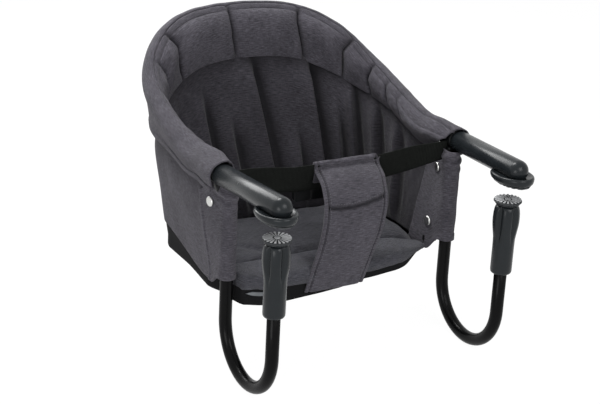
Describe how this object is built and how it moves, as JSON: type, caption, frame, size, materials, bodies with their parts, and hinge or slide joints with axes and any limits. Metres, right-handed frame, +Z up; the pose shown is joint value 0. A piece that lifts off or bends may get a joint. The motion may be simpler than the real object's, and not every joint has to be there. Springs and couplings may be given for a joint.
{
  "type": "hook-on table chair",
  "caption": "Child seat that hooks onto a table edge: padded fabric bucket on a bent tube hoop, feet on top of the table and folding hooks with screw clamps below it.",
  "frame": {"origin": "on the table top's surface, midway between the two feet and on the line through both clamp screws", "axes": "+X to the sitter's left hand as the chair is seen from the table, +Y from the table back to the chair's backrest, +Z up"},
  "size_m": [0.4212, 0.5325, 0.4178],
  "materials": {
    "fabric": "charcoal melange woven polyester, matt",
    "black_fabric": "black coated lining fabric, matt",
    "webbing": "black ribbed polyester webbing",
    "slate_plastic": "dark slate moulded plastic, satin",
    "black_plastic": "black moulded plastic",
    "black_steel": "gloss black powder coat on steel tube",
    "rubber": "ribbed grey rubber",
    "steel": "bright zinc plated steel",
    "board": "rigid seat insert board"
  },
  "bodies": {
    "frame": {"hoop_tube": "black_steel", "rim_sleeve": "fabric", "left_arm_sleeve": "slate_plastic", "left_foot_shoe": "slate_plastic", "left_foot_screw": "steel", "left_foot_pad": "rubber", "left_arm_cuff": "fabric", "left_flap_gusset": "fabric", "left_upper_stud": "steel", "left_lower_stud": "steel", "left_side_panel": "fabric", "right_arm_sleeve": "slate_plastic", "right_foot_shoe": "slate_plastic", "right_foot_screw": "steel", "right_foot_pad": "rubber", "right_arm_cuff": "fabric", "right_flap_gusset": "fabric", "right_upper_stud": "steel", "right_lower_stud": "steel", "right_side_panel": "fabric", "seat_under_cover": "black_fabric", "seat_board": "board", "seat_cushion": "fabric", "seat_front_lip": "fabric", "seat_front_binding": "black_fabric", "back_panel": "fabric", "back_collar": "fabric", "waist_belt": "webbing", "crotch_strap": "fabric", "buckle_socket": "black_plastic", "buckle_tongue": "black_plastic"},
    "left_hook": {"left_hinge_collar": "black_plastic", "left_hook_tube": "black_steel", "left_leg_sleeve": "fabric", "left_thread_insert": "black_plastic"},
    "left_clamp": {"left_clamp_pad": "rubber", "left_pad_plate": "slate_plastic"},
    "left_grip": {"left_twist_grip": "slate_plastic", "left_clamp_spindle": "steel"},
    "right_hook": {"right_hinge_collar": "black_plastic", "right_hook_tube": "black_steel", "right_leg_sleeve": "fabric", "right_thread_insert": "black_plastic"},
    "right_clamp": {"right_clamp_pad": "rubber", "right_pad_plate": "slate_plastic"},
    "right_grip": {"right_twist_grip": "slate_plastic", "right_clamp_spindle": "steel"}
  },
  "joints": [
    {"name": "left_hook_fold", "type": "hinge", "parent": "frame", "child": "left_hook", "pos_m": [-0.18913, 0.152, 0.01405], "axis": [0.0533, -0.9977, 0.0423], "range_deg": [0, 90], "deforming": ["left_arm_cuff", "left_flap_gusset", "seat_front_lip", "seat_front_binding", "crotch_strap"]},
    {"name": "right_hook_fold", "type": "hinge", "parent": "frame", "child": "right_hook", "pos_m": [0.18913, 0.152, 0.01405], "axis": [0.0533, 0.9977, -0.0423], "range_deg": [0, 65], "deforming": ["right_arm_cuff", "right_flap_gusset", "seat_front_lip", "seat_front_binding", "crotch_strap"]},
    {"name": "left_clamp_travel", "type": "slide", "parent": "left_hook", "child": "left_clamp", "axis": [0, 0, 1], "range_m": [-0.035, 0.008]},
    {"name": "right_clamp_travel", "type": "slide", "parent": "right_hook", "child": "right_clamp", "axis": [0, 0, 1], "range_m": [-0.035, 0.008]},
    {"name": "left_grip_spin", "type": "hinge", "parent": "left_clamp", "child": "left_grip", "pos_m": [-0.178, 0, -0.08], "axis": [0, 0, 1], "range_deg": [-3160, 730]},
    {"name": "right_grip_spin", "type": "hinge", "parent": "right_clamp", "child": "right_grip", "pos_m": [0.178, 0, -0.08], "axis": [0, 0, 1], "range_deg": [-3160, 730]}
  ],
  "couplings": [
    {"joint": "left_grip_spin", "follows": "left_clamp_travel", "rad_per_m": 1570.8},
    {"joint": "right_grip_spin", "follows": "right_clamp_travel", "rad_per_m": 1570.8}
  ]
}
